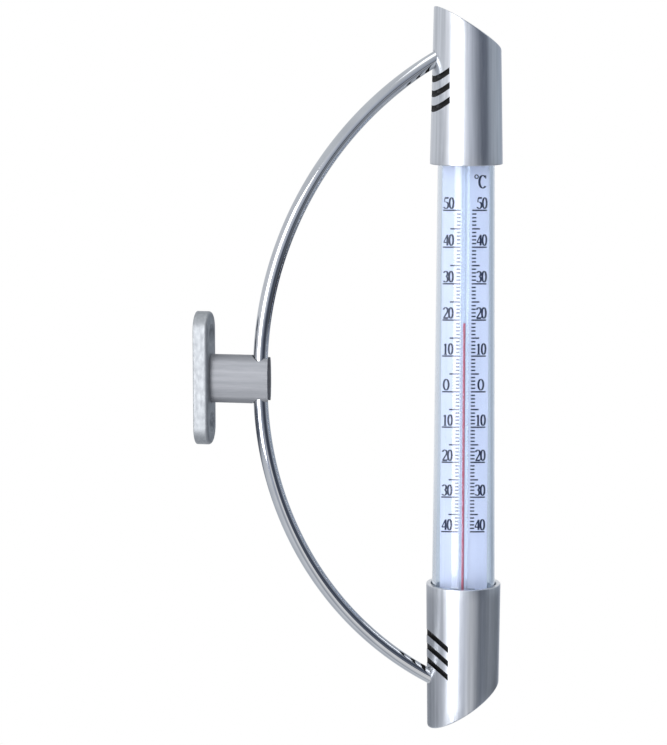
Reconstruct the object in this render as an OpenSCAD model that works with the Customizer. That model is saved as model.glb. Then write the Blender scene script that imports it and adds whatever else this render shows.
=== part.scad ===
// Outdoor thermometer: a scale tube between two oblique end caps, carried by a bow
// that snaps into a small wall bracket and swivels there.
// The origin is the centre of the wall plate's back face, +X leads away from the wall, +Z is up.

/* [Thermometer] */
// Overall height of the thermometer, tip to tip
height = 250; // [230:1:280]
// Length of the upper end cap along its long side
upper_cap_l = 53.5; // [48:0.5:56]
// Length of the lower end cap along its long side
lower_cap_l = 51; // [48:0.5:56]
// Outer diameter of the upper cap at its rim
upper_cap_d = 24.8; // [24.2:0.1:27]
// Outer diameter of the upper cap at its tip
upper_tip_d = 22.6; // [22:0.1:24.2]
// Outer diameter of the lower cap at its rim
lower_cap_d = 25.8; // [25.6:0.1:28]
// Outer diameter of the lower cap at its tip
lower_tip_d = 24.7; // [24.2:0.1:25.6]
// Wall of a cap at its rim
cap_wall = 1.6; // [1.2:0.1:1.8]
// Wall of a cap at its tip and across its oblique end
tip_wall = 1.2; // [1:0.1:1.6]
// Slope of the oblique ends, in degrees
cap_slope = 33; // [25:1:36]

/* [Slots] */
// Number of slots in each cap
slot_count = 3; // [1:1:3]
// Width of a slot
slot_w = 1.55; // [1:0.05:2]
// Distance from one slot to the next, along the cap
slot_pitch = 4.9; // [4:0.1:5.2]
// Distance of the outermost slot's inner end from the upper cap's tip
upper_slot_drop = 23; // [22:0.1:23.4]
// Distance of the outermost slot's inner end from the lower cap's tip
lower_slot_drop = 21.6; // [21.2:0.1:22.4]
// Slope of the slots, in degrees
slot_slope = 43.5; // [35:0.5:50]
// Depth of the upper cap's slots, measured in from its rim diameter
upper_slot_depth = 2.35; // [2:0.05:2.8]
// Depth of the lower cap's slots, measured in from its rim diameter
lower_slot_depth = 2.85; // [2.4:0.05:3.2]
// Turn of the slots' inner ends about the cap's axis, towards the front, in degrees
slot_turn = 12; // [0:1:20]

/* [Scale tube] */
// Gap round the clear tube's upper end in the upper cap's rim
upper_gap = 1.2; // [0.8:0.1:1.4]
// Gap round the clear tube's lower end in the lower cap's rim
lower_gap = 0.3; // [0.3:0.1:0.8]
// Wall of the clear tube
tube_wall = 1.4; // [1:0.1:1.4]
// Thickness of the tube's closed upper end
tube_end_t = 4.6; // [4:0.1:5]
// Depth to which the tube's pivoted ends reach into the caps
tube_in = 14; // [13:0.5:16]
// Direction that the scale faces, turned from square to the bow, in degrees
scale_turn = -14; // [-180:1:180]

/* [Scale] */
// Gap on each side of the white scale strip in the tube's narrow end
strip_gap = 0.1; // [0.1:0.1:0.8]
// Thickness of the scale strip
strip_t = 0.8; // [0.5:0.1:1]
// Height of the zero mark above the middle of the thermometer
zero_z = -6.5; // [-8:0.1:-3]
// Length of one degree at zero
degree_l = 1.233; // [1.1:0.001:1.25]
// Growth of a degree's length with each degree, as the spirit's own expansion grows
degree_growth = 0.00055; // [0:0.00005:0.0006]
// Temperature that the spirit shows, in degrees
reading = 19.3; // [-30:0.1:45]
// Diameter of the glass capillary
stem_d = 3.2; // [2.6:0.1:3.4]
// Diameter of the capillary's bore
bore_d = 0.6; // [0.5:0.05:1]
// Distance of the capillary from the strip's middle line
stem_x = -0.4; // [-1:0.1:1]
// Diameter of the bulb
bulb_d = 5.2; // [4.4:0.1:5.6]

/* [Bow] */
// Diameter of the bow's rod
bow_d = 5; // [4.5:0.1:5.4]
// Distance from the arm's channel to the thermometer's axis
bow_reach = 72; // [62:1:85]
// Distance from a cap's tip to where the bow enters the cap
bow_end_drop = 18.5; // [17:0.5:19]
// Length of the bow's straight middle, where it turns in the arm
bow_straight = 5; // [4:0.5:8]
// Length of the bow's ends inside the caps
bow_in = 9; // [7:0.5:9]
// Direction of the bow, turned about the arm's channel from straight out of the wall, in degrees
bow_turn = 24.5; // [-90:0.5:90]

/* [Wall bracket] */
// Height of the wall plate
plate_h = 45.5; // [44:0.5:60]
// Width of the wall plate
plate_w = 12.5; // [12:0.5:18]
// Thickness of the wall plate
plate_t = 5.2; // [4.5:0.1:6]
// Rounding of the plate's front edge
plate_round = 1.2; // [0.4:0.1:1.4]
// Distance between the two wall screw holes
hole_pitch = 30; // [29:0.5:32]
// Diameter of the wall screw holes
hole_d = 3.8; // [3:0.1:4.2]
// Diameter of the countersinks
sink_d = 7.4; // [6.5:0.1:7.6]
// Distance from the wall to the axis of the arm's channel
arm_reach = 22; // [20:0.5:30]
// Height of the arm
arm_h = 16.5; // [15:0.5:17]
// Thickness of the arm
arm_t = 6.8; // [6.6:0.1:7.5]
// Radius of the arm's rounded upper and lower edges
arm_edge_r = 2.9; // [2.4:0.1:3.1]
// Distance that the lips reach past the channel's axis
lip_reach = 3; // [2.7:0.1:3.4]
// Width of the channel's open mouth
mouth_w = 4.2; // [3.9:0.1:4.3]

/* [Hidden] */

// Fineness of round surfaces
$fn = 96;
// Length by which a cutting shape runs past what it cuts
past = 1;
// Space that a cutting block covers, larger than any cap
big = 60;

// Running clearance of a turning pin or rod in its bore
run_fit = 0.05;
// Clearance between still pieces that fit in each other
fit = 0.1;
// Gap between turning and still faces
face_gap = 0.3;

// Heights of the caps' tips and rims; the lower cap is measured downwards
tip_z = height / 2;
upper_rim_z = tip_z - upper_cap_l;
lower_rim_z = tip_z - lower_cap_l;

// Radii of the caps' bores
upper_bore_r = upper_cap_d / 2 - cap_wall;
upper_tip_bore_r = upper_tip_d / 2 - tip_wall;
lower_bore_r = lower_cap_d / 2 - cap_wall;
lower_tip_bore_r = lower_tip_d / 2 - tip_wall;

// Radii of the tube's two ends, and the width of the strip in it
tube_top_r = upper_bore_r - upper_gap;
tube_low_r = lower_bore_r - lower_gap;
strip_w = 2 * (min(tube_top_r, tube_low_r) - tube_wall - strip_gap);

// Soft rings between the tube and the inserts
gasket_t = 1.2;
gasket_inset = 1;
gasket_r = min(tube_top_r, tube_low_r) - gasket_inset;

// Heights of the tube, its plug and the inserts
tube_top_z = upper_rim_z + tube_in;
upper_insert_z = tube_top_z + face_gap + gasket_t;
flange_t = 3;
flange_low_z = -(lower_rim_z + tube_in);
tube_low_z = flange_low_z + flange_t;
lower_insert_z = face_gap + gasket_t - flange_low_z;

// Pivot pins on the inserts, and the recesses that they turn in
pivot_r = 2.5;
pivot_l = face_gap + gasket_t + 2.5;
recess_l = pivot_l - gasket_t;
gasket_bore_r = pivot_r + fit;

// Bow: radius of the rod and of its thinner straight middle, radius and angle of its two bends
bow_r = bow_d / 2;
journal_r = bow_r - 0.03;
journal_lap = 0.3;
bow_entry_r = (upper_cap_d + upper_tip_d + lower_cap_d + lower_tip_d) / 8;
bow_sag = bow_reach - bow_entry_r;
bow_rise = tip_z - bow_end_drop - bow_straight / 2;
bend_r = (bow_rise * bow_rise + bow_sag * bow_sag) / (2 * bow_sag);
entry_angle = asin(bow_rise / bend_r);
in_angle = bow_in / bend_r * 180 / PI;
socket_angle = (bow_in + face_gap) / bend_r * 180 / PI;
mouth_angle = 8;

// Set screws that lock the bow's ends; each stands at set_x and ends just short of the rod
set_r = 1.5;
set_l = 8;
set_key = 1.5;
set_key_t = 2;
set_x = -6.6;
set_gap = 0.15;

// Wall plate: screws, pocket and the screw that holds the arm
pocket_t = 0.8;
back_round = 0.4;
screw_r = 1.9;
screw_head_r = 3.9;
screw_l = 12;
screw_slot_l = 4.8;
screw_slot_w = 1;
screw_slot_t = 1.2;

// Arm: radius of its two broad faces, which meet the rounded edges smoothly
arm_c = arm_h / 2 - arm_edge_r;
arm_face_r = (arm_c * arm_c + arm_t * arm_t / 4 - arm_edge_r * arm_edge_r) / (arm_t - 2 * arm_edge_r);
arm_face_y = arm_face_r - arm_t / 2;
arm_join_z = arm_c * arm_face_r / (arm_face_r - arm_edge_r);
arm_edge_lap = 0.01;
channel_r = bow_r + run_fit;
channel_flare = 0.25;

// Strip, spacer and plug in the tube; the strip's ends stand strip_seat deep in their seats
strip_seat = 2;
spacer_t = 3;
spacer_gap = 1.4;
spacer_z = tube_top_z - tube_end_t - spacer_t - spacer_gap;
strip_top_z = spacer_z + strip_seat;
plug_h = 9;
plug_wall = 2.4;
plug_floor_t = 4;
plug_top_z = tube_low_z + plug_h;
strip_low_z = plug_top_z - strip_seat;

// Capillary, bulb and spirit
stem_r = stem_d / 2;
stem_y = -(strip_t / 2 + fit + stem_r);
stem_top_z = spacer_z - face_gap;
bore_r = bore_d / 2;
bulb_r = bulb_d / 2;
bulb_wall = 0.5;
bulb_top_z = strip_low_z - face_gap;
bulb_z = bulb_top_z - bulb_d / 2;
fill_r = bulb_r - bulb_wall - run_fit;
fill_cut = 0.2;
thread_r = bore_r - 0.08;
thread_low_z = bulb_top_z;
top_l = 12;
read_z = degree_z(reading);

// Clips that hold the capillary to the strip, just inside the caps
clip_h = 2;
clip_t = 0.6;
clip_ear = 2.6;
clip_in = 1.4;

// Height of a temperature's mark on the scale
function degree_z(t) = zero_z + degree_l * t + degree_growth * t * t / 2;

// Radius of the tube's outer surface at a height
function tube_r(z) = tube_top_r + (tube_low_r - tube_top_r) * (tube_top_z - z) / (tube_top_z - tube_low_z);

// Radius of a bore at a height, for a bore that narrows from the rim to the tip
function bore_at(rim_z, rim_r, tip_r, z) = rim_r + (tip_r - rim_r) * (z - rim_z) / (tip_z - rim_z);

// Height of the bow's centre line at a distance from the channel
function bow_z(x) = bow_straight / 2 + sqrt(bend_r * bend_r - (bend_r - x) * (bend_r - x));

// Frame of the bow: X leads from the channel to the thermometer
module in_bow_frame() {
    translate([arm_reach, 0, 0]) rotate([0, 0, bow_turn]) children();
}

// Frame of the thermometer: Z is its axis, the bow comes in from -X
module in_tube_frame() {
    in_bow_frame() translate([bow_reach, 0, 0]) children();
}

// Frame of the scale, which faces -Y
module in_scale_frame() {
    in_tube_frame() rotate([0, 0, scale_turn]) children();
}

// Everything above the oblique end, lowered by a drop square to that end
module above_slope(tip_r, drop) {
    translate([-tip_r, 0, tip_z])
        rotate([0, cap_slope, 0])
            translate([-big / 2, -big / 2, -drop])
                cube([big * 2, big, big]);
}

// A bend of the bow above the middle, with a given radius of rod and angle of bend
module bend(r, angle) {
    translate([bend_r, 0, bow_straight / 2])
        rotate([90, 0, 0])
            rotate([0, 0, 180 - angle])
                rotate_extrude(angle = angle) translate([bend_r, 0]) circle(r);
}

// The bow's upper end alone, as a curved hole of a given radius in the frame of the thermometer
module bow_hole(r) {
    translate([bend_r - bow_reach, 0, bow_straight / 2])
        rotate([90, 0, 0])
            rotate([0, 0, 180 - entry_angle - socket_angle])
                rotate_extrude(angle = mouth_angle + socket_angle)
                    translate([bend_r, 0]) circle(r);
}

// One slanting slot, open towards the bow; stop is its inner end's distance from the cap's axis
module slot(z, stop) {
    intersection() {
        translate([-stop, 0, z])
            rotate([0, -slot_slope, 0])
                cube([big, big, slot_w], center = true);
        rotate([0, 0, slot_turn])
            translate([-stop - big, -big / 2, 0]) cube([big, big, tip_z]);
    }
}

// An upper end cap; the lower one is its mirror image with other diameters
module cap(rim_z, slot_drop, slot_depth, rim_r, tip_r, rim_bore, tip_bore) {
    difference() {
        translate([0, 0, rim_z]) cylinder(h = tip_z - rim_z, r1 = rim_r, r2 = tip_r);
        above_slope(tip_r, 0);
        difference() {
            translate([0, 0, rim_z - past])
                cylinder(
                    h = tip_z - rim_z + past,
                    r1 = bore_at(rim_z, rim_bore, tip_bore, rim_z - past),
                    r2 = tip_bore
                );
            above_slope(tip_r, tip_wall);
        }
        for (i = [0 : slot_count - 1])
            slot(tip_z - slot_drop - i * slot_pitch, rim_r - slot_depth);
        bow_hole(bow_r + fit);
    }
}

// The block in an upper cap: it holds the bow's end and the pin that the tube turns on
module insert(rim_z, insert_z, tip_r, rim_bore, tip_bore) {
    difference() {
        translate([0, 0, insert_z])
            cylinder(
                h = tip_z - insert_z,
                r1 = bore_at(rim_z, rim_bore, tip_bore, insert_z) - fit,
                r2 = tip_bore - fit
            );
        above_slope(tip_r, tip_wall + face_gap);
        bow_hole(bow_r + fit);
        translate([set_x, 0, insert_z - past])
            cylinder(h = bow_z(bow_reach + set_x) - insert_z + past, r = set_r + run_fit);
    }
    translate([0, 0, insert_z - pivot_l]) cylinder(h = pivot_l + past, r = pivot_r);
}

// Set screw under the bow's end, with a hexagon socket
module set_screw() {
    slope = asin((bend_r - bow_reach - set_x) / bend_r);
    top = bow_z(bow_reach + set_x) - bow_r / cos(slope) - set_r * tan(slope) - set_gap;
    translate([set_x, 0, top - set_l])
        difference() {
            cylinder(h = set_l, r = set_r);
            translate([0, 0, -past]) cylinder(h = past + set_key_t, d = set_key);
        }
}

// Soft flat ring against the face of an insert
module gasket(insert_z) {
    translate([0, 0, insert_z - gasket_t])
        difference() {
            cylinder(h = gasket_t, r = gasket_r);
            translate([0, 0, -past]) cylinder(h = gasket_t + 2 * past, r = gasket_bore_r);
        }
}

// Half of the plate's section, from its middle to its rounded edge
module plate_profile() {
    edge = plate_w / 2;
    union() {
        square([edge - plate_round, plate_t]);
        translate([0, back_round]) square([edge, plate_t - plate_round - back_round]);
        square([edge - back_round, plate_t - plate_round]);
        translate([edge - plate_round, plate_t - plate_round]) circle(plate_round);
        translate([edge - back_round, back_round]) circle(back_round);
    }
}

// The plate's outer form: two round ends and the straight stretch between them
module plate_form() {
    straight = plate_h - plate_w;
    for (side = [-1, 1])
        translate([0, 0, side * straight / 2])
            rotate([0, 90, 0])
                rotate_extrude()
                    intersection() {
                        plate_profile();
                        square([plate_w, plate_t]);
                    }
    translate([0, 0, -straight / 2])
        linear_extrude(straight)
            rotate(90)
                mirror([0, 1])
                    union() {
                        plate_profile();
                        mirror([1, 0]) plate_profile();
                    }
}

// The arm's section: two broad faces and two rounded edges, with the height along X
module arm_section(grow) {
    intersection() {
        translate([0, arm_face_y]) circle(arm_face_r + grow, $fn = 200);
        translate([0, -arm_face_y]) circle(arm_face_r + grow, $fn = 200);
        square([2 * arm_join_z, arm_t + 2 * past], center = true);
    }
    for (side = [-1, 1]) translate([side * arm_c, 0]) circle(arm_edge_r + arm_edge_lap + grow);
}

module wall_plate() {
    color("silver")
        difference() {
            plate_form();
            for (side = [-1, 1])
                translate([0, 0, side * hole_pitch / 2])
                    rotate([0, 90, 0]) {
                        translate([0, 0, -past]) cylinder(h = plate_t + 2 * past, d = hole_d);
                        translate([0, 0, plate_t - (sink_d - hole_d) / 2])
                            cylinder(h = (sink_d - hole_d) / 2 + past, d1 = hole_d, d2 = sink_d + 2 * past);
                    }
            translate([plate_t - pocket_t, 0, 0])
                rotate([0, 90, 0])
                    linear_extrude(pocket_t + past) arm_section(fit);
            rotate([0, 90, 0]) {
                translate([0, 0, -past]) cylinder(h = plate_t + 2 * past, r = screw_r + fit);
                translate([0, 0, -past])
                    cylinder(
                        h = screw_head_r - screw_r + past + fit,
                        r1 = screw_head_r + past + 2 * fit,
                        r2 = screw_r + fit
                    );
            }
        }
}

module clip_arm() {
    root_x = plate_t - pocket_t;
    color("silver")
        difference() {
            translate([root_x, 0, 0])
                rotate([0, 90, 0])
                    linear_extrude(arm_reach + lip_reach - root_x) arm_section(0);
            translate([arm_reach, 0, -arm_h]) cylinder(h = 2 * arm_h, r = channel_r);
            for (side = [0, 1])
                mirror([0, 0, side])
                    translate([arm_reach, 0, bow_straight / 2])
                        cylinder(h = arm_h / 2, r1 = channel_r, r2 = channel_r + channel_flare);
            translate([arm_reach, -mouth_w / 2, -arm_h]) cube([lip_reach + past, mouth_w, 2 * arm_h]);
            translate([root_x - past, 0, 0])
                rotate([0, 90, 0])
                    cylinder(h = screw_l - root_x + 2 * past, r = screw_r + run_fit);
        }
}

// Countersunk screw from the plate's back into the arm
module arm_screw() {
    color("gray")
        rotate([0, 90, 0])
            difference() {
                union() {
                    translate([0, 0, fit])
                        cylinder(h = screw_head_r - screw_r, r1 = screw_head_r, r2 = screw_r);
                    translate([0, 0, fit]) cylinder(h = screw_l - fit, r = screw_r);
                }
                for (turn = [0, 90])
                    rotate([0, 0, turn])
                        translate([-screw_slot_l / 2, -screw_slot_w / 2, -past])
                            cube([screw_slot_l, screw_slot_w, screw_slot_t + past]);
            }
}

module bow() {
    color("lightgray")
        in_bow_frame() {
            cylinder(h = bow_straight + 2 * journal_lap, r = journal_r, center = true);
            for (side = [0, 1]) mirror([0, 0, side]) bend(bow_r, entry_angle + in_angle);
        }
}

module upper_cap() {
    color("gainsboro")
        in_tube_frame()
            cap(
                upper_rim_z,
                upper_slot_drop,
                upper_slot_depth,
                upper_cap_d / 2,
                upper_tip_d / 2,
                upper_bore_r,
                upper_tip_bore_r
            );
}

module lower_cap() {
    color("gainsboro")
        in_tube_frame()
            mirror([0, 0, 1])
                cap(
                    lower_rim_z,
                    lower_slot_drop,
                    lower_slot_depth,
                    lower_cap_d / 2,
                    lower_tip_d / 2,
                    lower_bore_r,
                    lower_tip_bore_r
                );
}

module upper_insert() {
    color("dimgray")
        in_tube_frame()
            insert(upper_rim_z, upper_insert_z, upper_tip_d / 2, upper_bore_r, upper_tip_bore_r);
}

module lower_insert() {
    color("dimgray")
        in_tube_frame()
            mirror([0, 0, 1])
                insert(lower_rim_z, lower_insert_z, lower_tip_d / 2, lower_bore_r, lower_tip_bore_r);
}

module upper_bow_screw() {
    color("gray") in_tube_frame() set_screw();
}

module lower_bow_screw() {
    color("gray") in_tube_frame() mirror([0, 0, 1]) set_screw();
}

module upper_gasket() {
    color("black") in_tube_frame() gasket(upper_insert_z);
}

module lower_gasket() {
    color("black") in_tube_frame() mirror([0, 0, 1]) gasket(lower_insert_z);
}

// Clear moulded tube, closed at its narrow upper end, where a pivot pin enters
module outer_tube() {
    tube_l = tube_top_z - tube_low_z;
    color("lightcyan", 0.4)
        in_scale_frame()
            difference() {
                translate([0, 0, tube_low_z])
                    cylinder(h = tube_l, r1 = tube_low_r, r2 = tube_top_r);
                translate([0, 0, tube_low_z - past])
                    cylinder(
                        h = tube_l - tube_end_t + past,
                        r1 = tube_r(tube_low_z - past) - tube_wall,
                        r2 = tube_r(tube_top_z - tube_end_t) - tube_wall
                    );
                translate([0, 0, tube_top_z - recess_l])
                    cylinder(h = recess_l + past, r = pivot_r + run_fit);
            }
}

// Stopper in the tube's open lower end: a cup for the bulb, notched for the strip
module tube_plug() {
    spigot_r = tube_r(plug_top_z) - tube_wall - fit;
    color("white")
        in_scale_frame()
            difference() {
                union() {
                    translate([0, 0, flange_low_z]) cylinder(h = flange_t, r = tube_low_r - fit);
                    translate([0, 0, flange_low_z]) cylinder(h = flange_t + plug_h, r = spigot_r);
                }
                translate([0, 0, flange_low_z + plug_floor_t])
                    cylinder(h = flange_t + plug_h, r = spigot_r - plug_wall);
                translate([0, 0, strip_low_z - fit + big / 2])
                    cube([strip_w + 2 * fit, strip_t + 2 * fit, big], center = true);
                translate([0, 0, flange_low_z - past])
                    cylinder(h = recess_l + past, r = pivot_r + run_fit);
            }
}

// Disc that centres the strip's upper end in the tube
module strip_spacer() {
    color("white")
        in_scale_frame()
            difference() {
                translate([0, 0, spacer_z])
                    cylinder(h = spacer_t, r = tube_r(spacer_z + spacer_t) - tube_wall - fit);
                translate([0, 0, strip_top_z + fit - big / 2])
                    cube([strip_w + 2 * fit, strip_t + 2 * fit, big], center = true);
            }
}

module scale_plate() {
    color("white")
        in_scale_frame()
            translate([-strip_w / 2, -strip_t / 2, strip_low_z])
                cube([strip_w, strip_t, strip_top_z - strip_low_z]);
}

// Round form about the capillary's own axis: a bulb with a rod on it
module bulb_and_rod(ball_r, rod_r) {
    translate([0, 0, bulb_z]) sphere(ball_r);
    translate([0, 0, bulb_z]) cylinder(h = stem_top_z - stem_r - bulb_z, r = rod_r);
}

// Glass capillary with its bulb
module stem() {
    color("azure", 0.5)
        in_scale_frame()
            translate([stem_x, stem_y, 0])
                difference() {
                    union() {
                        bulb_and_rod(bulb_r, stem_r);
                        translate([0, 0, stem_top_z - stem_r]) sphere(stem_r);
                    }
                    bulb_and_rod(bulb_r - bulb_wall, bore_r);
                }
}

// Clips of the capillary: a saddle over the glass and an ear on each side of it
module stem_clips() {
    saddle_r = stem_r + fit;
    face_y = -strip_t / 2 - fit / 2;
    color("lightgray")
        in_scale_frame()
            for (z = [upper_rim_z + clip_in, -lower_rim_z - clip_in - clip_h])
                translate([stem_x, 0, z])
                    difference() {
                        union() {
                            translate([0, stem_y, 0]) cylinder(h = clip_h, r = saddle_r + clip_t);
                            translate([-saddle_r - clip_ear, face_y - clip_t, 0])
                                cube([2 * (saddle_r + clip_ear), clip_t, clip_h]);
                        }
                        translate([0, stem_y, -past]) cylinder(h = clip_h + 2 * past, r = saddle_r);
                        translate([-big / 2, face_y, -past]) cube([big, big, clip_h + 2 * past]);
                    }
}

// Spirit that fills the bulb
module bulb_spirit() {
    color("crimson")
        in_scale_frame()
            translate([stem_x, stem_y, bulb_z])
                difference() {
                    sphere(fill_r);
                    translate([-big / 2, -big / 2, fill_r - fill_cut]) cube(big);
                }
}

// Thread of spirit from the bulb to just below its top
module spirit_column() {
    color("crimson")
        in_scale_frame()
            translate([stem_x, stem_y, thread_low_z])
                cylinder(h = read_z - top_l - thread_low_z, r = thread_r);
}

// Top of the thread, which rises and falls with the temperature
module spirit_top() {
    color("crimson")
        in_scale_frame()
            translate([stem_x, stem_y, read_z - top_l]) {
                cylinder(h = top_l - thread_r, r = thread_r);
                translate([0, 0, top_l - thread_r]) sphere(thread_r);
            }
}

wall_plate();
clip_arm();
arm_screw();
bow();
upper_cap();
lower_cap();
upper_insert();
lower_insert();
upper_bow_screw();
lower_bow_screw();
upper_gasket();
lower_gasket();
outer_tube();
tube_plug();
strip_spacer();
scale_plate();
stem();
stem_clips();
bulb_spirit();
spirit_column();
spirit_top();
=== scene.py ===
"""Outdoor thermometer on a bow: finished surfaces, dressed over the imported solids, in metres."""

import math

import bmesh
import bpy
import numpy as np
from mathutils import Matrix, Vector


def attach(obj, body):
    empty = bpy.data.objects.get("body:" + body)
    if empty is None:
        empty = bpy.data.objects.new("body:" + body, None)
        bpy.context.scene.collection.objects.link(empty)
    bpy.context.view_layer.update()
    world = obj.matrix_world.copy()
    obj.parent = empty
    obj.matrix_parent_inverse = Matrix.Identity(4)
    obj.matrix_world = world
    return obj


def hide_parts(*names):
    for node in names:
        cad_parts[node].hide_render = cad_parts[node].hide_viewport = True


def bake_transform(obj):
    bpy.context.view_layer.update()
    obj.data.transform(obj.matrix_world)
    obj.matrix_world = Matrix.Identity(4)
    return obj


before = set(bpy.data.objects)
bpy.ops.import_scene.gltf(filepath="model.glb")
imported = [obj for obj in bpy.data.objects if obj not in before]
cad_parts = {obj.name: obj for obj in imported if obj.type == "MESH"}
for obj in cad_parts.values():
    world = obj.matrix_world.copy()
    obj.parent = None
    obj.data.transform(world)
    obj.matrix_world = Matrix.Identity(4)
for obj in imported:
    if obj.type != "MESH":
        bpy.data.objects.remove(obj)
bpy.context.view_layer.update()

MM = 0.001

# Sizes in millimetres and angles in radians, as in the solids

# End caps and their slots
HEIGHT = 250.0
TIP_Z = HEIGHT / 2
UPPER_RIM_Z = 71.5
LOWER_RIM_Z = 74.0
CAP_SLOPE = math.radians(33.0)
UPPER_RIM_R, UPPER_TIP_R = 12.4, 11.3
LOWER_RIM_R, LOWER_TIP_R = 12.9, 12.35
CAP_WALL, TIP_WALL = 1.6, 1.2
SLOT_COUNT = 3
SLOT_W = 1.55
SLOT_PITCH = 4.9
SLOT_SLOPE = math.radians(43.5)
SLOT_TURN = math.radians(12.0)
SLOT_STOP = 10.05
UPPER_SLOT_DROP, LOWER_SLOT_DROP = 23.0, 21.6

# Bow
BOW_R = 2.5
BOW_REACH = 72.0
BOW_END_Z = 106.5
BOW_STRAIGHT = 5.0
BOW_IN = 9.0
BOW_TURN = math.radians(24.5)
BOW_ENTRY_R = (UPPER_RIM_R + UPPER_TIP_R + LOWER_RIM_R + LOWER_TIP_R) / 4
BOW_SAG = BOW_REACH - BOW_ENTRY_R
BOW_RISE = BOW_END_Z - BOW_STRAIGHT / 2
BEND_R = (BOW_RISE**2 + BOW_SAG**2) / (2 * BOW_SAG)
ENTRY_ANGLE = math.asin(BOW_RISE / BEND_R)
END_ANGLE = ENTRY_ANGLE + BOW_IN / BEND_R
ARM_REACH = 22.0

# Clear tube
SCALE_TURN = math.radians(-14.0)
TUBE_IN = 14.0
FLANGE_T = 3.0
TUBE_TOP_Z = UPPER_RIM_Z + TUBE_IN
TUBE_LOW_Z = FLANGE_T - (LOWER_RIM_Z + TUBE_IN)
TUBE_TOP_R, TUBE_LOW_R = 9.6, 11.0
TUBE_WALL = 1.4
TUBE_END_T = 4.6
RECESS_R, RECESS_L = 2.55, 2.8

# Strip, its scale in degrees Celsius, capillary and spirit
STRIP_W, STRIP_T = 16.2, 0.8
STRIP_LOW_Z = -78.0
STRIP_TOP_Z = 78.5
ZERO_Z, DEGREE_L, DEGREE_GROWTH = -6.5, 1.233, 0.00055
COLDEST, HOTTEST = -40, 50
READING = 19.3
STEM_X = -0.4
STEM_R = 1.6
STEM_GAP = 0.1
STEM_Y = -(STRIP_T / 2 + STEM_GAP + STEM_R)
STEM_TOP_Z = 76.2
BORE_R = 0.3
THREAD_R = 0.22
BULB_R, BULB_WALL = 2.6, 0.5
BULB_TOP_Z = -78.3
BULB_Z = BULB_TOP_Z - BULB_R
TOP_L = 12.0


def degree_z(t):
    """Height of a temperature's mark: the zero's height, plus degrees whose length grows evenly
    with temperature."""
    return ZERO_Z + DEGREE_L * t + DEGREE_GROWTH * t * t / 2


THREAD_TOP_Z = degree_z(READING) - TOP_L


# Places, each frame within the one before: the bow's frame turns about the arm's channel, the
# tube's frame stands on the bow, and the scale's frame turns about the tube's axis


def turned(points, angle, x=0.0):
    """Points turned by an angle about Z, then moved by x."""
    c, s = math.cos(angle), math.sin(angle)
    out = np.empty_like(points)
    out[..., 0] = c * points[..., 0] - s * points[..., 1] + x
    out[..., 1] = s * points[..., 0] + c * points[..., 1]
    out[..., 2] = points[..., 2]
    return out


def in_bow_frame(points):
    """From the bow's frame to the part's frame: X leads from the channel to the thermometer."""
    return turned(points, BOW_TURN, ARM_REACH)


def in_tube_frame(points):
    """From the thermometer's own axis to the part's frame: the bow comes in from -X."""
    return in_bow_frame(points + np.array([BOW_REACH, 0.0, 0.0]))


def in_scale_frame(points):
    """From the scale's frame, in which the numbers face -Y, to the part's frame."""
    return in_tube_frame(turned(points, SCALE_TURN))


def on_stem(points):
    """From the capillary's own axis to the part's frame."""
    return in_scale_frame(points + np.array([STEM_X, STEM_Y, 0.0]))


# Meshes

SHARP_ANGLE = math.radians(30)
MERGE_DISTANCE = 1e-4 * MM


class Surface:
    """Grids of points gathered into one mesh, in which points of two grids that meet are one."""

    def __init__(self):
        self.points, self.faces, self.count = [], [], 0

    def grid(self, points, around=False):
        """Adds a grid of shape (n, m, 3): each face joins two neighbours in one row to the two
        beside them in the next row, and around joins a row's last point to its first."""
        n, m = points.shape[:2]
        i = np.arange(n - 1)[:, None]
        j = np.arange(m if around else m - 1)[None, :]
        next_j = (j + 1) % m
        quads = [i * m + j, i * m + next_j, (i + 1) * m + next_j, (i + 1) * m + j]
        self.points.append(points.reshape(-1, 3))
        self.faces.append(np.stack(quads, axis=-1).reshape(-1, 4) + self.count)
        self.count += n * m
        return self

    def build(self, name, place, material=None):
        """Makes the mesh object, in metres, with doubles merged, each shell's faces turned outwards
        and edges smooth below SHARP_ANGLE."""
        mesh = bpy.data.meshes.new(name)
        points = place(np.concatenate(self.points))
        faces = np.concatenate(self.faces)
        mesh.vertices.add(len(points))
        mesh.vertices.foreach_set("co", (points * MM).ravel())
        mesh.loops.add(faces.size)
        mesh.loops.foreach_set("vertex_index", faces.ravel())
        mesh.polygons.add(len(faces))
        mesh.polygons.foreach_set("loop_start", np.arange(0, faces.size, 4))
        mesh.update(calc_edges=True)
        merge_and_turn(mesh)
        mesh.shade_smooth()
        mesh.set_sharp_from_angle(angle=SHARP_ANGLE)
        obj = bpy.data.objects.new(name, mesh)
        bpy.context.scene.collection.objects.link(obj)
        if material:
            mesh.materials.append(material)
        return obj


def merge_and_turn(mesh):
    """Merges points within MERGE_DISTANCE, drops faces with no area and turns the rest outwards."""
    work = bmesh.new()
    work.from_mesh(mesh)
    bmesh.ops.remove_doubles(work, verts=work.verts, dist=MERGE_DISTANCE)
    bmesh.ops.dissolve_degenerate(work, edges=work.edges, dist=MERGE_DISTANCE)
    bmesh.ops.recalc_face_normals(work, faces=work.faces)
    work.to_mesh(mesh)
    work.free()


def lathe(profile, n):
    """Surface of revolution about Z: each (radius, height) of a profile goes once round it."""
    a = np.linspace(0, 2 * np.pi, n, endpoint=False)
    r, z = profile[:, :1], profile[:, 1:]
    return np.stack([r * np.cos(a), r * np.sin(a), z + 0 * a], axis=-1)


def rounded(a, corner, b, n=6):
    """Points on a smooth corner: a parabola from a to b that leans towards the corner."""
    t = np.linspace(0, 1, n).reshape((n,) + (1,) * a.ndim)
    return (1 - t) ** 2 * a + 2 * t * (1 - t) * corner + t**2 * b


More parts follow.
